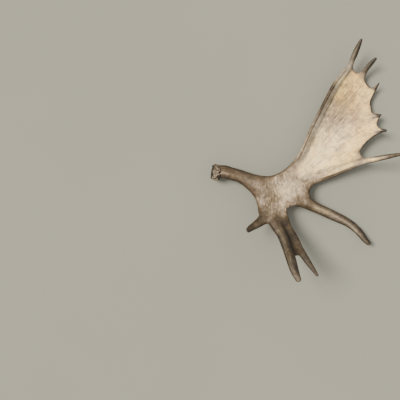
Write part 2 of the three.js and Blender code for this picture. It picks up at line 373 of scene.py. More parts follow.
# stain along each limb from its root to its tip, 0 bleached to 1 darkest: [share, stain]
STAINS = {
    "beam": [[0, 0.62], [0.15, 0.72], [0.45, 0.76], [0.62, 0.64], [0.78, 0.54], [1, 0.26]],
    "long_tine": [[0, 0.32], [0.2, 0.54], [0.45, 0.58], [0.75, 0.69], [0.9, 0.76], [1, 0.8]],
    "near_ridge": [[0, 0.42], [0.16, 0.54], [0.3, 0.72], [0.7, 0.74], [0.9, 0.78], [1, 0.68]],
    "far_ridge": [[0, 0.34], [0.2, 0.5], [0.3, 0.92], [0.5, 0.92], [0.6, 0.7], [0.72, 0.74],
                  [1, 0.8]],
    "short_tine": [[0, 0.56], [0.35, 0.56], [0.7, 0.52], [0.9, 0.64], [1, 0.95]],
    "margin_rib": [[0, 0.34], [0.1, 0.34], [0.4, 0.28], [0.75, 0.2], [0.84, 0.36], [0.92, 0.74],
                   [1, 0.84]],
    "second_rib": [[0, 0.14], [0.35, 0.22], [0.6, 0.6], [1, 0.86]],
    "outer_rib": [[0, 0.3], [0.3, 0.2], [0.6, 0.16], [0.75, 0.3], [0.86, 0.66], [1, 0.74]],
    "upper_point": [[0, 0.12], [0.6, 0.16], [0.88, 0.5], [1, 0.8]],
    "middle_point": [[0, 0.1], [0.6, 0.14], [0.88, 0.5], [1, 0.85]],
    "lower_point": [[0, 0.1], [0.6, 0.14], [0.82, 0.6], [1, 0.95]],
}

# how far weather has greyed each limb, 0 to 1
WEATHERING = {
    "beam": 0, "long_tine": 0.45, "near_ridge": 0.6, "far_ridge": 0.5, "short_tine": 0.5,
    "margin_rib": 0.65, "second_rib": 0.8, "outer_rib": 0.3, "upper_point": 0.3,
    "middle_point": 0.3, "lower_point": 0.3,
}

# dark edge where the beam turns up into the palm's straight margin: painted shade on the side facing
# away from the light, and stain
SHOULDER = (225, 2)
SHOULDER_REACH = 62
SHOULDER_SHADE_AND_STAIN = 0.45

# patches that are darker, or paler, than the bone round them: [x, y, reach, stain]
PATCHES = [
    [420, 200, 62, 0.12], [366, 230, 15, 0.2], [382, 260, 17, 0.28], [398, 289, 15, 0.28],
    [308, -36, 20, 0.2], [160, -142, 22, 0.2],
    [282, -103, 13, 0.3], [320, -116, 15, 0.24], [495, 71, 9, 0.3], [268, -246, 15, -0.08],
    [182, -72, 26, 0.12], [199, -100, 22, 0.12], [240, -66, 26, -0.08], [352, 60, 34, -0.05],
    [274, -96, 14, 0.14], [150, -108, 18, 0.1], [508, 202, 40, 0.1], [323, -64, 12, 0.6],
]


# ---- modelling ----

def added(name, data):
    """Puts new data into the scene as an object."""
    piece = bpy.data.objects.new(name, data)
    bpy.context.collection.objects.link(piece)
    return piece


def alone(piece):
    """Makes one object the only one selected."""
    bpy.ops.object.select_all(action="DESELECT")
    piece.select_set(True)
    bpy.context.view_layer.objects.active = piece


def applied(piece, kind, **settings):
    """Adds a modifier with its settings and applies it."""
    alone(piece)
    bpy.ops.object.modifier_add(type=kind)
    modifier = piece.modifiers[-1]
    for name, value in settings.items():
        setattr(modifier, name, value)
    bpy.ops.object.modifier_apply(modifier=modifier.name)
    return piece


def settled(piece):
    """Works an object's place, turn and scale into its mesh."""
    alone(piece)
    bpy.ops.object.transform_apply(location=True, rotation=True, scale=True)
    return piece


def joined(pieces, name):
    """Joins objects into the first of them, under one name."""
    alone(pieces[0])
    for piece in pieces:
        piece.select_set(True)
    bpy.ops.object.join()
    whole = bpy.context.object
    whole.name = name
    whole.data.name = name
    return whole


def coated(piece, material):
    """Shades an object smoothly, with one material all over."""
    alone(piece)
    bpy.ops.object.shade_smooth()
    piece.data.materials.clear()
    piece.data.materials.append(material)
    return piece


def vectors_of(layer, name):
    """One vector for each item of a mesh layer."""
    flat = np.empty(len(layer) * 3, np.float32)
    layer.foreach_get(name, flat)
    return flat.reshape(-1, 3).astype(float)


def points_of(piece):
    return vectors_of(piece.data.vertices, "co")


def normals_of(piece):
    return vectors_of(piece.data.vertex_normals, "vector")


def set_points(piece, places):
    piece.data.vertices.foreach_set("co", np.asarray(places, np.float32).ravel())
    piece.data.update()


def rings_of(stations):
    """Middle, heading, half width and half height of each ring of a limb, with a rounded tip."""
    rows = through(stations, RING_SPACING)
    places = framed(rows)
    ways = unit(np.gradient(places, axis=0))
    headings = np.unwrap(np.arctan2(ways[:, 1], ways[:, 0]))
    half_width = rows[:, 3] * MM / 2
    half_height = rows[:, 4] * MM / 2 / np.maximum(STEEPEST, np.hypot(ways[:, 0], ways[:, 1]))
    rings = list(zip(places, headings, half_width, half_height))
    reach = min(half_width[-1], rows[-1, 4] * MM / 2)
    for turn in map(math.radians, TIP_TURNS):
        middle = places[-1] + ways[-1] * reach * math.sin(turn)
        small = math.cos(turn)
        rings.append((middle, headings[-1], half_width[-1] * small, half_height[-1] * small))
    return rings


def model_limb(stations):
    """Draws a limb out from a circle that stands upright across its root."""
    rings = rings_of(stations)
    middle, heading, wide, high = rings[0]
    upright = (math.pi / 2, 0, heading + math.pi / 2)
    bpy.ops.mesh.primitive_circle_add(vertices=LIMB_SIDES, radius=wide, fill_type="NGON",
                                      location=middle, rotation=upright)
    limb = bpy.context.object
    bpy.ops.object.mode_set(mode="EDIT")
    bpy.ops.transform.resize(value=(1, 1, high / wide), center_override=middle)
    for next_middle, next_heading, next_wide, next_high in rings[1:]:
        step = Vector(next_middle - middle)
        bpy.ops.mesh.extrude_region_move(TRANSFORM_OT_translate={"value": step})
        bpy.ops.transform.rotate(value=heading - next_heading, orient_axis="Z",
                                 center_override=next_middle)
        bpy.ops.transform.resize(value=(next_wide / wide, next_wide / wide, next_high / high),
                                 center_override=next_middle)
        middle, heading, wide, high = next_middle, next_heading, next_wide, next_high
    bpy.ops.object.mode_set(mode="OBJECT")
    return settled(limb)


def model_palm(outline):
    """Fills the palm's outline, thickens it and bends it into its bowl."""
    curve = bpy.data.curves.new("palm_outline", "CURVE")
    curve.dimensions = "2D"
    curve.fill_mode = "BOTH"
    curve.extrude = PALM_THICKNESS * MM / 2
    spline = curve.splines.new("POLY")
    spline.points.add(len(outline) - 1)
    for point, (x, y) in zip(spline.points, outline * MM):
        point.co = (x, y, 0, 1)
    spline.use_cyclic_u = True
    alone(added("palm", curve))
    bpy.ops.object.convert(target="MESH")
    bpy.ops.object.mode_set(mode="EDIT")
    bpy.ops.mesh.select_all(action="SELECT")
    bpy.ops.mesh.remove_doubles(threshold=MM / 100)
    bpy.ops.mesh.normals_make_consistent(inside=False)
    bpy.ops.object.mode_set(mode="OBJECT")
    palm = applied(bpy.context.object, "REMESH", mode="VOXEL", voxel_size=PLATE_VOXEL)
    places = points_of(palm) / MM
    plan = places[:, :2]
    layer = np.clip(places[:, 2] / (PALM_THICKNESS / 2), -1, 1)
    height = palm_height(plan) + layer * palm_half_thickness(outline, plan)
    set_points(palm, framed(np.column_stack([plan, height])))
    return palm


def web_edge(stations, end, out):
    """Places down the middle of a brow ridge, where 1 is the end of the wall that hangs from it."""
    line = through(stations, 1)
    return line[np.round(out * end * (len(line) - 1)).astype(int), :3]


def model_web():
    """Hangs the folded wall between the two brow ridges and thickens it."""
    bpy.ops.mesh.primitive_grid_add(x_subdivisions=WEB_ACROSS, y_subdivisions=WEB_ALONG, size=1)
    web = bpy.context.object
    places = points_of(web)
    side = places[:, 0] + 0.5
    out = 0.5 - places[:, 1]
    near_edge = web_edge(NEAR_RIDGE, WEB_NEAR_END, out)
    far_edge = web_edge(FAR_RIDGE, WEB_FAR_END, out)
    wall = near_edge + (far_edge - near_edge) * side[:, None]
    turn = ease(*WEB_TURN, out)
    wall[:, 2] += (WEB_BULGE * (1 - turn) - WEB_SAG * turn) * (1 - (2 * side - 1) ** 2)
    set_points(web, framed(wall))
    return applied(web, "SOLIDIFY", thickness=WEB_THICKNESS * MM, offset=0)


def soften(piece, share, turns):
    """Relaxes a mesh, each vertex by its own share, in steps."""
    group = piece.vertex_groups.new(name="soft")
    for level in range(1, SOFT_LEVELS + 1):
        near = np.flatnonzero(np.round(share * SOFT_LEVELS) == level)
        group.add(near.tolist(), level / SOFT_LEVELS, "REPLACE")
    applied(piece, "SMOOTH", factor=0.5, iterations=turns, vertex_group=group.name)
    piece.vertex_groups.clear()


def evened(piece, values, share, turns):
    """Averages a value over the mesh, each vertex by its own share."""
    ends = np.empty(len(piece.data.edges) * 2, np.int32)
    piece.data.edges.foreach_get("vertices", ends)
    first, second = ends.reshape(-1, 2).T
    count = np.bincount(first, minlength=len(values)) + np.bincount(second, minlength=len(values))
    for _ in range(turns):
        total = (np.bincount(first, values[second], len(values))
                 + np.bincount(second, values[first], len(values)))
        values = values + share * (total / count - values)
    return values


def near_forks(places):
    """1 in the middle of a fork and 0 well away from all of them."""
    return np.max([dome(places, (x, y, height), reach) for x, y, height, reach in FORKS], axis=0)


# ---- where on the antler each point lies ----

SAMPLE_SPACING = 3
CHUNK = 4000
# distance from a limb's middle, in half widths, at which a point belongs to it not at all and fully
ON_LIMB = (2.0, 1.25)
# these keep the pattern of one limb apart from that of the next
LIMB_SHIFT = 37
LIMB_GAP = 700


class Growth:
    """How every point of the bone lies along the limbs and the palm, for its grooves, stain and painted
    shade.
    """

    def __init__(self, places, normals, outline):
        self.work = unframed(places)
        self.plan = self.work[:, :2]
        self.normals = normals
        self.rim = rim_distance(outline, self.plan)
        self.find_nearest(self.sampled_limbs())
        off = self.plan - FAN_MIDDLE
        self.fan = np.column_stack([
            np.arctan2(off[:, 1], off[:, 0]) * FAN_RADIUS,
            np.linalg.norm(off, axis=1), self.work[:, 2]])

    def sampled_limbs(self):
        """Close stations along every limb, with their axes, stain and place on the limb."""
        parts = []
        for number, (name, stations) in enumerate(LIMBS.items()):
            rows = through(stations, SAMPLE_SPACING)
            ways = unit(np.gradient(rows[:, :3], axis=0))
            across = unit(np.cross(ways, [0, 0, 1]))
            steps = np.linalg.norm(np.diff(rows[:, :3], axis=0), axis=1)
            along = np.concatenate([[0], np.cumsum(steps)])
            share = along / along[-1]
            stops, stains = np.array(STAINS[name]).T
            parts.append({
                "place": rows[:, :3], "half_wide": rows[:, 3] / 2, "half_deep": rows[:, 4] / 2,
                "way": ways, "across": across, "above": np.cross(across, ways), "along": along,
                "share": share, "stain": np.interp(share, stops, stains),
                "limb": np.full(len(rows), number)})
        return {key: np.concatenate([part[key] for part in parts]) for key in parts[0]}

    def find_nearest(self, samples):
        """Finds the station whose oval each point lies in, or nearest to."""
        place, half_wide, half_deep = samples["place"], samples["half_wide"], samples["half_deep"]
        axes = [samples[key] for key in ("across", "above", "way")]
        found = []
        for start in range(0, len(self.work), CHUNK):
            points = self.work[start:start + CHUNK]
            across, above, along = [points @ axis.T - np.sum(place * axis, axis=1) for axis in axes]
            reach = (across / half_wide) ** 2 + (above / half_deep) ** 2 + (along / half_wide) ** 2
            nearest = np.argmin(reach, axis=1)
            row = np.arange(len(points))
            found.append([np.sqrt(reach[row, nearest]), across[row, nearest],
                          above[row, nearest], along[row, nearest], nearest])
        reach, self.across, self.above, along, nearest = np.concatenate(found, axis=1)
        best = {key: rows[nearest.astype(int)] for key, rows in samples.items()}
        self.along = best["along"] + along
        self.half = np.sqrt(best["half_wide"] * best["half_deep"])
        self.limb_stain = best["stain"]
        self.limb = best["limb"]
        self.share = best["share"]
        self.side = self.across / best["half_wide"]
        self.up = self.above / best["half_deep"]
        self.on_limb = ease(*ON_LIMB, reach)

    def of(self, name):
        """1 on the points that lie along one limb."""
        return (self.limb == list(LIMBS).index(name)).astype(float)

    def turned(self, coarseness, stretch):
        """Places for noise that runs along a limb: round it in turns, and slowly along it."""
        out = np.hypot(self.side, self.up) + 1e-6
        return np.column_stack([self.side / out * coarseness, self.up / out * coarseness,
                                self.along * stretch + self.limb * LIMB_SHIFT])


def noise_at(places):
    """Smooth noise, about -1 to 1, with swells about as wide as 1, one value for each place."""
    return np.array([noise.noise(place) for place in places.tolist()])


# ---- the antler ----

# Places are in millimetres. Side runs from -1 to 1 across a limb, share from 0 at its root to 1 at
# its tip, and a stain with painted shade and highlights added from 0, bleached, to 1, darkest.

CREASE_MIDDLE = -3.0
CREASE_HALF_WIDTH = 2.2
# the plates: the low palm, what its upper part adds and its top loses, the junction and the brow
BLEACHED_STAIN = 0.02
UPPER_STAIN = 0.16
TOP_LOSS = 0.07
JUNCTION_STAIN = 0.25
JUNCTION_STAIN_PLACE = (215, -60)
JUNCTION_STAIN_REACH = 75
KHAKI_STAIN = 0.42
DARK_STAIN = 0.86
# painted shade on the thick face of the lower margin
MARGIN_SHADE = 0.82
# the way in plan that the rims face which take the most painted shade, and the most stain and shade that
# an underside shows
SHADED_RIM_WAY = np.array([0.85, -0.53])
UNDERSIDE_LIMIT = 0.78


def straight_rib(growth):
    """1 on the palm's straight rib, away from both its ends."""
    return growth.of("margin_rib") * ease(0.06, 0.14, growth.share) * ease(0.86, 0.78, growth.share)


def rib_crease(growth):
    """1 along the narrow crease on top of the palm's straight rib."""
    return (straight_rib(growth) * ease(0.2, 0.5, growth.normals[:, 2])
            * ridge(growth.across, CREASE_MIDDLE, CREASE_HALF_WIDTH))


def sculpt(piece, growth, sizes):
    """Swells, flutes and grooves the bone along its growth, and returns how deep each groove is."""
    turn, out, _ = growth.fan.T
    level = np.zeros(len(turn))
    swell = noise_at(growth.work / 45) + 0.4 * noise_at(growth.work / 17)
    flutes = noise_at(growth.turned(1.5, 1 / 140)) + 0.6 * noise_at(growth.turned(3.2, 1 / 90) + 7)
    fine = noise_at(growth.turned(6, 1 / 60) + 3)
    turn = turn + noise_at(growth.work / 60) * 8
    veins = noise_at(np.column_stack([turn / 9, out / 95, level]))
    lines = noise_at(np.column_stack([turn / 4, out / 60, level + 5]))
    palm_grooves = 0.7 * veins + 0.5 * lines
    thick = ease(5, 20, growth.half)
    on_limb = growth.on_limb
    calm = 1 - 0.9 * near_forks(growth.work)
    depth = (sizes.undulation * swell * (0.35 + 0.65 * thick)
             + sizes.fluting * flutes * on_limb * thick * calm
             + sizes.grooves * fine * on_limb * (0.4 + 0.6 * thick) * calm
             + sizes.grooves * palm_grooves * (1 - on_limb) * 1.2
             - sizes.crease * rib_crease(growth))
    set_points(piece, points_of(piece) + growth.normals * depth[:, None])
    palm_depth = ease(0.1, 0.7, -palm_grooves)
    limb_depth = ease(0.1, 0.8, -(0.6 * flutes + fine))
    return palm_depth * (1 - on_limb) + limb_depth * on_limb


def palm_stain(growth):
    """Stain of the plates away from their ribs: bleached low on the palm, darkest on the brow."""
    along = from_margin(growth.plan)[0]
    upper = UPPER_STAIN * ease(60, 240, along) - TOP_LOSS * ease(300, 420, along)
    junction = JUNCTION_STAIN * dome(growth.plan, JUNCTION_STAIN_PLACE, JUNCTION_STAIN_REACH)
    palm = BLEACHED_STAIN + upper + junction
    khaki = ease(-95, -140, growth.plan[:, 1])
    dark = ease(-150, -185, growth.plan[:, 1])
    return palm + (KHAKI_STAIN - palm) * khaki + (DARK_STAIN - KHAKI_STAIN) * dark


def warmth(growth):
    """1 on the part of the palm towards its pointed margin and its top."""
    along, across = from_margin(growth.plan)
    return np.maximum(ease(90, 190, across), ease(200, 320, along)) * ease(0, 60, along + across)


def pointed(growth):
    """1 on the three short points of the palm's rim."""
    return growth.of("upper_point") + growth.of("middle_point") + growth.of("lower_point")


def painted_light_stripes(growth):
    """Painted highlights and painted shade along each limb: paler lit strips, and darker edges on the
    sides turned from the light.
    """
    side = growth.side
    share = growth.share
    beam = growth.of("beam") * (
        0.07 * ease(-0.1, -0.4, side) - 0.14 * ridge(side, 0.12, 0.17) * ease(1.0, 0.7, share))
    turned = 0.4 * ease(0.55, 0.8, share)
    long_tine = growth.of("long_tine") * ease(0.08, 0.2, share) * (
        0.19 * ease(-0.3, -0.8, side - turned) + 0.1 * ease(0.6, 0.9, side)
        - 0.25 * ridge(side, turned, 0.3) * ease(0.98, 0.8, share))
    outer = growth.of("outer_rib") * ease(0.55, 0.65, share) * (
        0.25 * ease(0.5, 0.9, np.abs(side)) - 0.3 * ridge(side, 0, 0.38) * ease(0.9, 0.8, share))
    near = growth.of("near_ridge") * ease(0.2, 0.3, share) * (
        0.2 * ease(-0.3, -0.8, side) - 0.07 * ridge(side, 0.45, 0.22))
    tip = growth.of("margin_rib") * ease(0.82, 0.9, share) * (0.34 * ease(-0.2, 0.4, side) - 0.09)
    rib = straight_rib(growth) * (
        0.14 * ease(-0.2, 0.0, side) - 0.12 * ease(0.5, 1.0, side) - 0.08)
    point = pointed(growth) * ease(0.2, 0.5, share) * 0.45 * ease(0.1, 0.7, side)
    second = growth.of("second_rib") * ease(0.2, 0.45, share) * (
        0.5 * ease(-0.2, 0.5, side) - 0.12 * ease(0.1, -0.5, side) * ease(0.8, 0.5, share))
    return beam + long_tine + outer + near + tip + rib + point + second


def margin_band_shade(growth):
    """1 on the thick face of the lower margin, between the long tine and the outer tine, which is
    painted dark as its shade.
    """
    share = growth.share
    start = 0.12 + 0.43 * ease(0.58, 0.72, share)
    return (growth.of("outer_rib") * ease(start, start + 0.25, growth.side)
            * ease(0.02, 0.12, share) * ease(0.95, 0.8, share))


def stain_and_shade_of(growth):
    """Stain of the whole bone with its painted shade and painted highlights added, 0 bleached to 1
    darkest.
    """
    up = growth.normals[:, 2]
    limb = growth.on_limb
    stain = palm_stain(growth) * (1 - limb) + (growth.limb_stain + 0.03) * limb
    for x, y, reach, amount in PATCHES:
        stain = stain + amount * dome(growth.plan, (x, y), reach)
    # painted shade on the sides of the bone, darker where its surface turns from facing up to facing
    # sideways
    painted_edge_shade = ease(0.85, 0.2, np.abs(up)) * (0.26 + 0.12 * ease(0.2, 0.5, stain))
    back = ease(0.05, -0.5, up) * 0.22
    # the plates' dark rims: partly a dark edge of the bone, partly painted shade where a rim faces away
    # from the light
    facing = growth.normals[:, :2] @ SHADED_RIM_WAY
    second_root = growth.of("second_rib") * ease(0.5, 0.3, growth.share)
    plate = np.maximum(1 - limb, pointed(growth) + second_root)
    rim = ease(6.0, 3.0, growth.rim) * plate * (0.4 + 0.5 * ease(-0.1, 0.3, facing))
    # painted shade and stain along the shoulder where the beam meets the palm
    shoulder = SHOULDER_SHADE_AND_STAIN * ease(10, 3, growth.rim) * dome(growth.plan, SHOULDER, SHOULDER_REACH)
    # painted shade in the crease along the palm's straight rib
    crease = 0.4 * rib_crease(growth)
    stain = stain + painted_edge_shade + back + rim + shoulder + crease + painted_light_stripes(growth) * limb * ease(0.1, 0.6, up)
    stain = np.maximum(stain, MARGIN_SHADE * margin_band_shade(growth))
    return np.clip(stain, 0, UNDERSIDE_LIMIT + (1 - UNDERSIDE_LIMIT) * ease(-0.1, 0.3, up))


def store(piece, name, values):
    """Keeps a number or a place for every vertex, for the finish to read."""
    kind, field = ("FLOAT", "value") if values.ndim == 1 else ("FLOAT_VECTOR", "vector")
    attribute = piece.data.attributes.new(name, kind, "POINT")
    attribute.data.foreach_set(field, values.astype(np.float32).ravel())


def build_antler(sizes, colours):
    """The whole bone: joined, skinned over, softened, sculpted, stained, given its painted shade and
    finished.
    """
    outline = palm_outline()
    limbs = [model_palm(outline), model_web(), *[model_limb(stations) for stations in LIMBS.values()]]
    antler = joined(limbs, "antler")
    applied(antler, "REMESH", mode="VOXEL", voxel_size=sizes.voxel)
    forks = near_forks(unframed(points_of(antler)))
    soften(antler, np.ones(len(forks)), SOFT_TURNS)
    soften(antler, ease(*FORK_SOFT, forks), FORK_TURNS)
    growth = Growth(points_of(antler), normals_of(antler), outline)
    grooves = sculpt(antler, growth, sizes)
    growth.normals = normals_of(antler)
    forks = near_forks(growth.work)
    blend = ease(*FORK_BLEND, forks) * BLEND_SHARE
    weathering = np.array([WEATHERING[name] for name in LIMBS])[growth.limb]
    worn = growth.on_limb * ease(0.1, 0.5, growth.share) * weathering
    lengthwise = np.column_stack([growth.across, growth.above, growth.along + growth.limb * LIMB_GAP])
    store(antler, "stain", evened(antler, stain_and_shade_of(growth), blend, BLEND_TURNS))
    store(antler, "groove", grooves)
    store(antler, "limb", growth.on_limb)
    store(antler, "fork", forks)
    store(antler, "worn", evened(antler, worn, blend, BLEND_TURNS))
    store(antler, "warm", warmth(growth))
    store(antler, "fan", growth.fan * MM)
    store(antler, "lengthwise", lengthwise * MM)
    return coated(antler, bone_finish("antler_bone", colours))


# ---- the burr ----

BURR_HEIGHT = 34.5
BURR_TURN = math.radians(-10)
BURR_OVAL = 0.9
# the burr's core: [radius, place along the beam]
SEAL_PROFILE = [[12, -17], [21, -14], [25, -10], [26, -4], [26, 6], [23, 13]]
SEAL_SIDES = 48
# rings of pearls: [radius, place along the beam, size]
PEARL_RINGS = [
    [23, -13, 0.85], [26, -8, 1.0], [27, -2, 1.1], [27, 4, 1.05], [26, 9, 0.85], [25, 14, 0.6],
]
# how far a pearl may be out of place: round its ring, outwards, along the beam, in tilt and in size
PEARL_TURNS = (-0.35, 0.35)
PEARL_OUTWARDS = (-1.8, 1.0)
PEARL_ALONG = (-2, 2)
PEARL_TILTS = (-0.5, 0.5)
PEARL_SIZES = (0.6, 1.25)
PEARL_POINT = 1.3
PEARL_SEED = 7
BURR_VOXEL = 0.0011
BURR_SOFT_TURNS = 5
# distance from the middle of the beam at which the pearls begin and are fully proud
BURR_PROUD = (25, 31)


def model_seal():
    """Draws out the burr's core with its domed seal, standing on end."""
    radius, out = SEAL_PROFILE[0]
    bpy.ops.mesh.primitive_circle_add(vertices=SEAL_SIDES, radius=radius * MM, fill_type="NGON",
                                      location=(0, 0, out * MM))
    seal = bpy.context.object
    bpy.ops.object.mode_set(mode="EDIT")
    for next_radius, next_out in SEAL_PROFILE[1:]:
        step = (0, 0, (next_out - out) * MM)
        bpy.ops.mesh.extrude_region_move(TRANSFORM_OT_translate={"value": step})
        wider = next_radius / radius
        bpy.ops.transform.resize(value=(wider, wider, 1), center_override=(0, 0, next_out * MM))
        radius, out = next_radius, next_out
    bpy.ops.object.mode_set(mode="OBJECT")
    return settled(seal)


def model_pearl(size):
    """One pearl: a small ball drawn out to a blunt point."""
    bpy.ops.mesh.primitive_ico_sphere_add(subdivisions=2, radius=size / 2)
    pearl = bpy.context.object
    bpy.ops.object.mode_set(mode="EDIT")
    bpy.ops.transform.resize(value=(1, 1, PEARL_POINT), center_override=(0, 0, 0))
    bpy.ops.object.mode_set(mode="OBJECT")
    return pearl


def model_pearls(sizes):
    """The rings of pearls, each pearl a little out of its place."""
    draw = np.random.default_rng(PEARL_SEED)
    pearl = model_pearl(sizes.pearl_size)
    pearls = []
    for radius, out, size in PEARL_RINGS:
        for number in range(sizes.pearls):
            turn = (number + draw.uniform(*PEARL_TURNS)) * 2 * math.pi / sizes.pearls
            copy = added("pearl", pearl.data.copy())
            reach = (radius + draw.uniform(*PEARL_OUTWARDS)) * MM
            copy.location = (reach * math.cos(turn), reach * math.sin(turn),
                             (out + draw.uniform(*PEARL_ALONG)) * MM)
            copy.rotation_euler = (0, math.pi / 2 + draw.uniform(*PEARL_TILTS), turn)
            copy.scale = (size * draw.uniform(*PEARL_SIZES),) * 3
            pearls.append(copy)
    bpy.data.objects.remove(pearl)
    return pearls


def build_burr(sizes, colours):
    """The burr: core and pearls joined, laid along the beam, skinned over and finished."""
    burr = joined([model_seal(), *model_pearls(sizes)], "burr")
    burr.scale = (1, BURR_OVAL, 1)
    burr.rotation_euler = (0, math.pi / 2, BURR_TURN)
    burr.location = BURR_MIDDLE + Vector((0, 0, BURR_HEIGHT * MM))
    settled(burr)
    applied(burr, "REMESH", mode="VOXEL", voxel_size=BURR_VOXEL)
    applied(burr, "SMOOTH", factor=0.5, iterations=BURR_SOFT_TURNS)
    places = points_of(burr)
    work = unframed(places)
    rough = 0.5 * noise_at(work / 6) + 0.35 * noise_at(work / 2.5)
    set_points(burr, places + normals_of(burr) * (rough * MM)[:, None])
    out = work[:, 0] * math.cos(BURR_TURN) + work[:, 1] * math.sin(BURR_TURN)
    across = work[:, 1] * math.cos(BURR_TURN) - work[:, 0] * math.sin(BURR_TURN)
    proud = ease(*BURR_PROUD, np.hypot(across / BURR_OVAL, work[:, 2] - BURR_HEIGHT))
    seal = 0.08 * ease(-8, -16, out) * (1 - proud)
    store(burr, "stain", 0.82 - 0.27 * proud + seal + 0.2 * noise_at(work / 8))
    store(burr, "groove", 1 - proud)
    for name, value in (("limb", 0), ("fork", 0.5), ("worn", 0.6), ("warm", 0)):
        store(burr, name, np.full(len(work), value))
    store(burr, "fan", work * MM)
    store(burr, "lengthwise", work * MM)
    return coated(burr, bone_finish("burr_bone", colours))


# ---- finishes ----

BUMP_STRENGTH = 0.55
BUMP_DEPTH = 0.0012
FLOOR_SHADE = (0.97, 0.97, 0.98)


class Number:
    """One changing number of a finish. Sums on it add the Math nodes that work it out."""

    def __init__(self, finish, socket):
        self.finish = finish
        self.socket = socket

    def sum_of(self, operation, *numbers, clamp=False):
        return self.finish.node("ShaderNodeMath", {"operation": operation, "use_clamp": clamp},
                                dict(enumerate(numbers)))

    def __add__(self, other):
        return self.sum_of("ADD", self, other)

    def __sub__(self, other):
        return self.sum_of("SUBTRACT", self, other)

    def __rsub__(self, other):
        return self.sum_of("SUBTRACT", other, self)

    def __mul__(self, other):
        return self.sum_of("MULTIPLY", self, other)

    __radd__ = __add__

    def kept(self):
        """The number held between 0 and 1."""
        return self.sum_of("ADD", self, 0.0, clamp=True)

    def eased(self, start, end):
        """The same smooth turn as ease()."""
        return self.finish.node("ShaderNodeMapRange", {"interpolation_type": "SMOOTHSTEP"},
                                {"Value": self, "From Min": start, "From Max": end})


class Finish:
    """A material and the nodes that make it."""

    def __init__(self, name):
        self.material = bpy.data.materials.new(name)
        self.material.use_nodes = True
        self.tree = self.material.node_tree
        self.shader = self.tree.nodes["Principled BSDF"]

    def node(self, kind, settings, inputs, output=0):
        """Any node: its settings are set first, then the values or links of its sockets."""
        made = self.tree.nodes.new(kind)
        for name, value in settings.items():
            if name == "stops":
                self.set_stops(made.color_ramp, value)
            else:
                setattr(made, name, value)
        self.plug(made, inputs)
        return Number(self, made.outputs[output])

    def plug(self, node, inputs):
        """Links the changing inputs of a node and sets the fixed ones."""
        for name, value in inputs.items():
            if isinstance(value, Number):
                self.tree.links.new(value.socket, node.inputs[name])
            else:
                node.inputs[name].default_value = value

    def set_stops(self, ramp, stops):
        while len(ramp.elements) < len(stops):
            ramp.elements.new(1.0)
        for element, (place, tint) in zip(ramp.elements, stops):
            element.position = place
            element.color = (*tint, 1)

    def place(self):
        """Where each point is on its piece."""
        return self.node("ShaderNodeTexCoord", {}, {}, "Object")

    def attribute(self, name, output="Fac"):
        return self.node("ShaderNodeAttribute", {"attribute_name": name}, {}, output)

    def noise(self, place, scale, detail, roughness=0.55, distortion=0.0):
        return self.node("ShaderNodeTexNoise", {}, {
            "Vector": place, "Scale": scale, "Detail": detail, "Roughness": roughness,
            "Distortion": distortion})

    def streaks(self, place, scales, *shape):
        """Noise with its own scale along each axis."""
        place = self.node("ShaderNodeVectorMath", {"operation": "MULTIPLY"}, {0: place, 1: scales})
        return self.noise(place, 1.0, *shape)

    def tinted(self, base, tint, share, how="MIX"):
        """A colour mixed with another by a share."""
        settings = {"data_type": "RGBA", "blend_type": how, "clamp_factor": True}
        return self.node("ShaderNodeMix", settings, {0: share, 6: base, 7: (*tint, 1)}, 2)


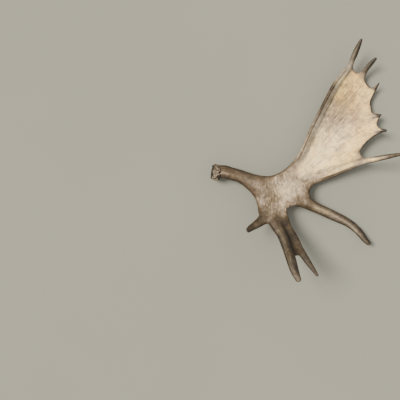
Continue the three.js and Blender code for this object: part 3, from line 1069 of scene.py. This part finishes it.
def bone_finish(name, colours):
    """Matte antler bone: clouded, streaked along its growth, pitted, and flecked at its forks."""
    finish = Finish(name)
    place = finish.place()
    stain, groove, limb, fork, worn, warm = [
        finish.attribute(each) for each in ("stain", "groove", "limb", "fork", "worn", "warm")]
    fan = finish.attribute("fan", "Vector")
    lengthwise = finish.attribute("lengthwise", "Vector")

    clouds = finish.noise(place, 24.0, 5.0, 0.62)
    blotches = finish.noise(place, 85.0, 4.0, 0.6)
    grit = finish.noise(place, 420.0, 3.0, 0.6)
    palm_streaks = finish.streaks(fan, (260.0, 16.0, 20.0), 4.0, 0.62, 0.4)
    limb_streaks = finish.streaks(lengthwise, (300.0, 300.0, 17.0), 4.0, 0.6, 0.3)
    streaks = palm_streaks + (limb_streaks - palm_streaks) * limb
    streaks = 0.5 + (streaks - 0.5) * (1 - fork * 0.85)
    hairlines = streaks.eased(0.42, 0.35) * blotches.eased(0.4, 0.55)
    pits = finish.node("ShaderNodeTexVoronoi", {}, {"Vector": place, "Scale": 210.0}, "Distance")
    pores = pits.eased(0.24, 0.12) * blotches.eased(0.55, 0.65)
    hairs = finish.streaks(fan, (420.0, 20.0, 20.0), 2.0, 0.5, 0.2)
    open_palm = (1 - limb) * (1 - fork) * clouds.eased(0.4, 0.52)
    dark_hairs = hairs.eased(0.42, 0.35) * open_palm
    light_hairs = hairs.eased(0.58, 0.66) * open_palm

    tone = (stain + dark_hairs * 0.2 - light_hairs * 0.2 + (clouds - 0.5) * 0.6
            + (blotches - 0.5) * (0.42 + fork * 0.1) + (streaks - 0.5) * (0.46 + limb * 0.16)
            + (grit - 0.5) * 0.2 + groove * 0.12 + pores * 0.24 + hairlines * 0.2)
    stops = zip((0.0, 0.25, 0.5, 0.75, 1.0),
                (colours.cream, colours.sand, colours.tan, colours.brown, colours.umber))
    bone = finish.node("ShaderNodeValToRGB", {"stops": list(stops)}, {0: tone.kept()})
    drift = finish.noise(place, 14.0, 3.0)
    tints = ((colours.olive, drift.eased(0.5, 0.66)), (colours.rose, drift.eased(0.48, 0.34)),
             (colours.ash, worn), (colours.peach, warm * tone.eased(0.5, 0.2)))
    for tint, share in tints:
        bone = finish.tinted(bone, tint, share, "MULTIPLY")
    scratches = finish.streaks(place, (190.0, 75.0, 110.0), 4.0)
    flecks = scratches.eased(0.5, 0.6) * fork * (1 - warm) * stain.eased(0.75, 0.4) * 0.6
    bone = finish.tinted(bone, colours.fleck, flecks)

    relief = (streaks - 0.5) * 0.9 + (grit - 0.5) * 0.4 - pores * 0.6 + (blotches - 0.5) * 0.5
    bumps = finish.node("ShaderNodeBump", {}, {
        "Strength": BUMP_STRENGTH, "Distance": BUMP_DEPTH, "Height": relief}, "Normal")
    finish.plug(finish.shader, {
        "Base Color": bone, "Roughness": 0.6 + (blotches - 0.5) * 0.3 + pores * 0.15,
        "Normal": bumps, "Specular IOR Level": 0.35})
    return finish.material


def floor_finish(settings):
    """Plain pale floor with a faint unevenness."""
    finish = Finish("floor_paint")
    drift = finish.noise(finish.place(), 1.5, 2.0).eased(0.35, 0.65)
    shade = finish.tinted((*settings.floor, 1), FLOOR_SHADE, drift, "MULTIPLY")
    finish.plug(finish.shader, {"Base Color": shade, "Roughness": 0.9, "Specular IOR Level": 0.1})
    return finish.material


# ---- the stage ----

# Places on the stage and in the frame are in metres.

CAMERA_PLAN = (-0.3563, -0.1429)
SENSOR_WIDTH = 36.0
FLOOR_RADIUS = 60.0
FLOOR_RINGS = (30.0, 18.0, 9.0)
FLOOR_SIDES = 96
KEY_FROM = (-1.1, 0.35, 1.5)
KEY_SPREAD = math.radians(24)
KEY_COLOUR = (1.0, 0.93, 0.81)
SKY_COLOUR = (1.0, 0.97, 0.92)


def build_floor(settings):
    """A wide round floor, cut into rings that widen outwards."""
    bpy.ops.mesh.primitive_circle_add(vertices=FLOOR_SIDES, radius=FLOOR_RADIUS, fill_type="NGON")
    floor = bpy.context.object
    floor.name = "floor"
    bpy.ops.object.mode_set(mode="EDIT")
    for radius in FLOOR_RINGS:
        bpy.ops.mesh.inset(thickness=radius)
    bpy.ops.object.mode_set(mode="OBJECT")
    floor.data.materials.append(floor_finish(settings))


def build_lights(settings):
    """Even light all round, and one wide soft lamp."""
    world = bpy.data.worlds.new("studio")
    world.use_nodes = True
    sky = world.node_tree.nodes["Background"]
    sky.inputs["Color"].default_value = (*SKY_COLOUR, 1)
    sky.inputs["Strength"].default_value = settings.sky
    bpy.context.scene.world = world
    lamp = bpy.data.lights.new("key", "SUN")
    lamp.energy = settings.key
    lamp.angle = KEY_SPREAD
    lamp.color = KEY_COLOUR
    added("key", lamp).rotation_euler = (-Vector(KEY_FROM)).to_track_quat("-Z", "Y").to_euler()


def build_camera(settings):
    """A camera over the antler that looks straight down."""
    view = bpy.data.cameras.new("camera")
    view.lens = settings.lens
    view.sensor_width = SENSOR_WIDTH
    camera = added("camera", view)
    camera.location = (*CAMERA_PLAN, settings.height)
    bpy.context.scene.camera = camera


# ---- operators, panel and registering ----

class ANTLER_OT_stage(bpy.types.Operator):
    """Lays the floor, hangs the lights and sets the camera over the antler"""
    bl_idname = "antler.stage"
    bl_label = "Build the stage"

    def execute(self, context):
        settings = context.scene.antler_stage
        build_camera(settings)
        build_lights(settings)
        build_floor(settings)
        return {"FINISHED"}


class ANTLER_OT_bone(bpy.types.Operator):
    """Builds the beam, palm and tines as one bone"""
    bl_idname = "antler.bone"
    bl_label = "Build the antler"

    def execute(self, context):
        scene = context.scene
        antler = build_antler(scene.antler_sizes, scene.antler_colours)
        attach(antler, "root")
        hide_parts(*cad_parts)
        return {"FINISHED"}


class ANTLER_OT_burr(bpy.types.Operator):
    """Builds the burr, a ring of pearls round the foot of the beam"""
    bl_idname = "antler.burr"
    bl_label = "Build the burr"

    def execute(self, context):
        scene = context.scene
        burr = build_burr(scene.antler_sizes, scene.antler_colours)
        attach(burr, "root")
        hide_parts("burr_and_beam")
        return {"FINISHED"}


class ANTLER_PT_panel(bpy.types.Panel):
    """Lists the steps that build the antler and its stage"""
    bl_label = "Antler"
    bl_idname = "ANTLER_PT_panel"
    bl_space_type = "VIEW_3D"
    bl_region_type = "UI"
    bl_category = "Antler"

    def draw(self, context):
        scene = context.scene
        for group in (scene.antler_sizes, scene.antler_colours, scene.antler_stage):
            for name in group.bl_rna.properties.keys():
                if name not in {"rna_type", "name"}:
                    self.layout.prop(group, name)
        for operator in OPERATORS:
            self.layout.operator(operator.bl_idname)


OPERATORS = (ANTLER_OT_stage, ANTLER_OT_bone, ANTLER_OT_burr)
CLASSES = (AntlerSizes, AntlerColours, StageSettings, *OPERATORS, ANTLER_PT_panel)


def register():
    for each in CLASSES:
        bpy.utils.register_class(each)
    bpy.types.Scene.antler_sizes = PointerProperty(type=AntlerSizes)
    bpy.types.Scene.antler_colours = PointerProperty(type=AntlerColours)
    bpy.types.Scene.antler_stage = PointerProperty(type=StageSettings)


def unregister():
    del bpy.types.Scene.antler_stage
    del bpy.types.Scene.antler_colours
    del bpy.types.Scene.antler_sizes
    for each in reversed(CLASSES):
        bpy.utils.unregister_class(each)


def main():
    register()
    bpy.ops.antler.stage()
    bpy.ops.antler.bone()
    bpy.ops.antler.burr()


if __name__ == "__main__":
    main()
